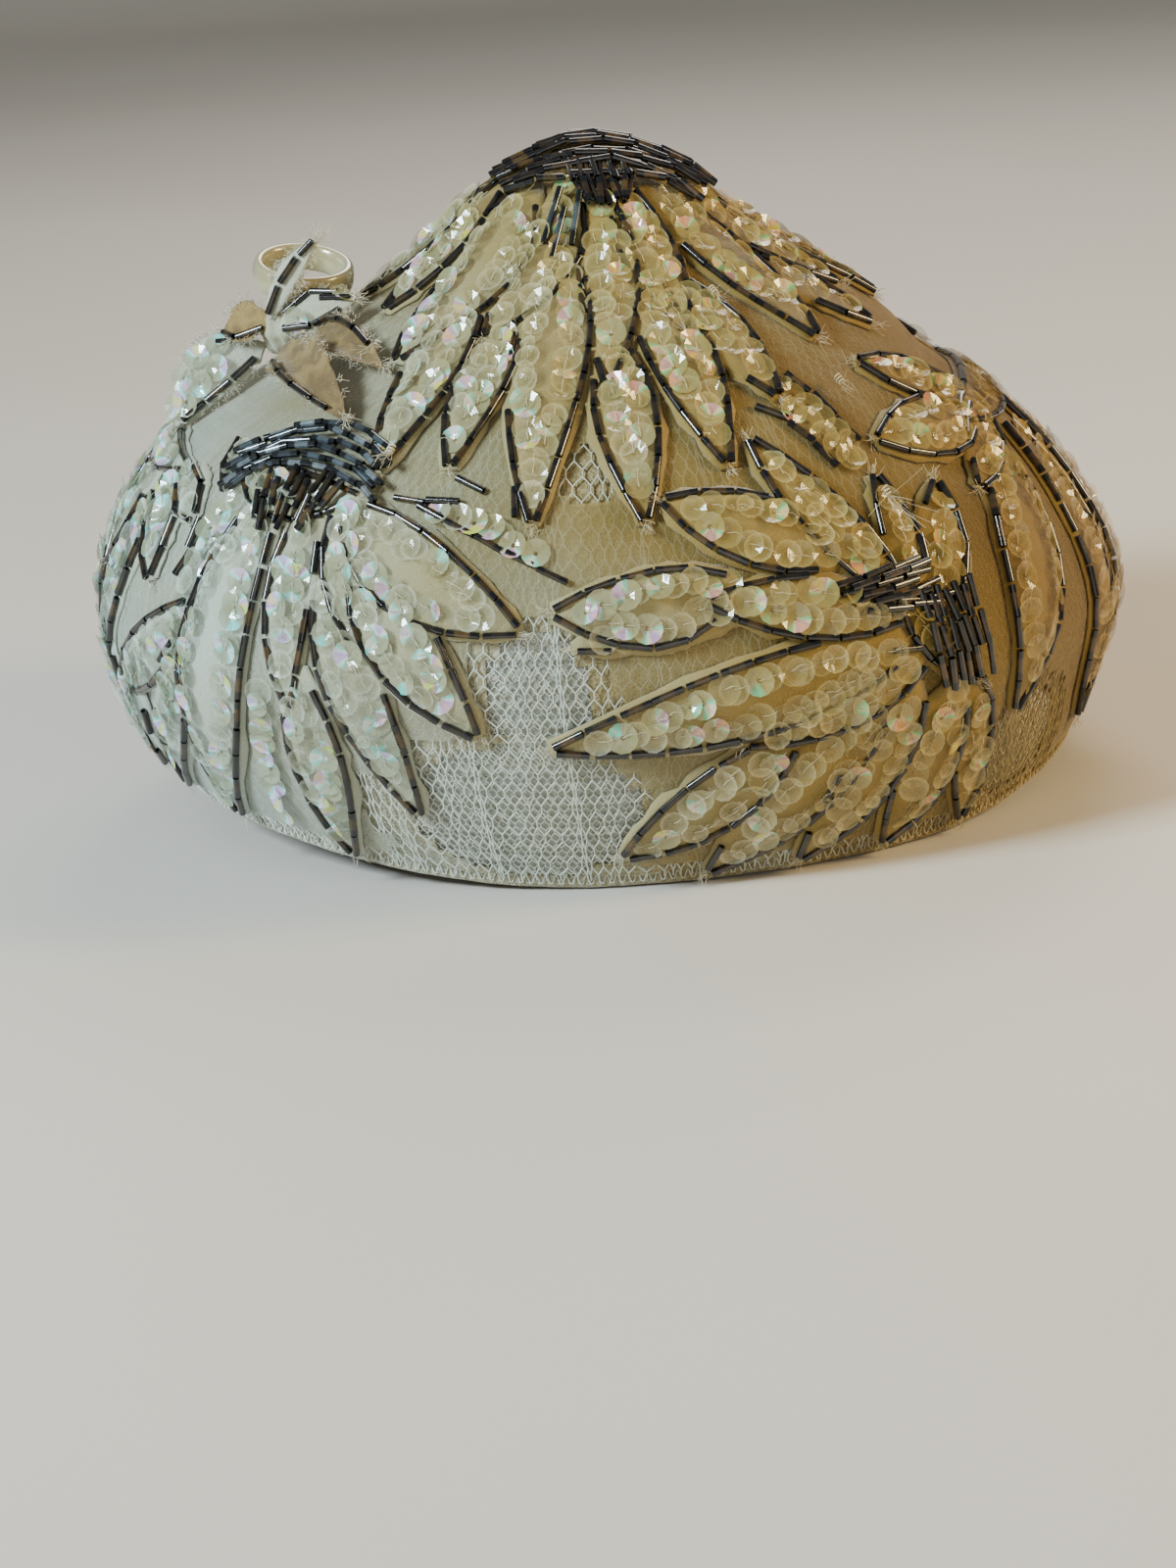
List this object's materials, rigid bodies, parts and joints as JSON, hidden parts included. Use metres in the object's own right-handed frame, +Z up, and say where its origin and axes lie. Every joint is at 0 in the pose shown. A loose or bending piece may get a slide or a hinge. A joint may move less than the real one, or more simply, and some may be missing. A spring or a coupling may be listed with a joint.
{
  "type": "beaded half hat",
  "caption": "Soft net cap with a rounded skirt and a peaked crown, covered in beaded leaf sprays, with a pearl ring ornament at the front.",
  "frame": {"origin": "middle of the box that holds the hat, on the surface it stands on", "axes": "+Z up, -X towards the front of the hat, -Y towards the wearer's left"},
  "size_m": [0.2248, 0.1978, 0.1427],
  "materials": {
    "net": "cream net over a fine ochre net",
    "hem": "folded edge with small loops",
    "organza": "sheer cream cloth with clear sequins",
    "beads": "smoky glass bugle beads",
    "pearl": "pearl cream"
  },
  "bodies": {
    "root": {"net_crown": "net", "net_hem": "hem", "spray_crown": "organza", "spray_back": "organza", "spray_brow": "organza", "spray_front_left": "organza", "spray_front_right": "organza", "spray_side_left": "organza", "spray_side_right": "organza", "bead_pad_peak": "beads", "bead_pad_front_left": "beads", "bead_pad_front_right": "beads", "bead_pad_side_left": "beads", "bead_pad_side_right": "beads", "ornament_knot": "organza", "pearl_ring": "pearl", "petal_drooping": "organza", "petal_resting": "organza", "petal_upright": "organza", "petal_hanging": "organza", "petal_side": "organza"}
  },
  "joints": []
}
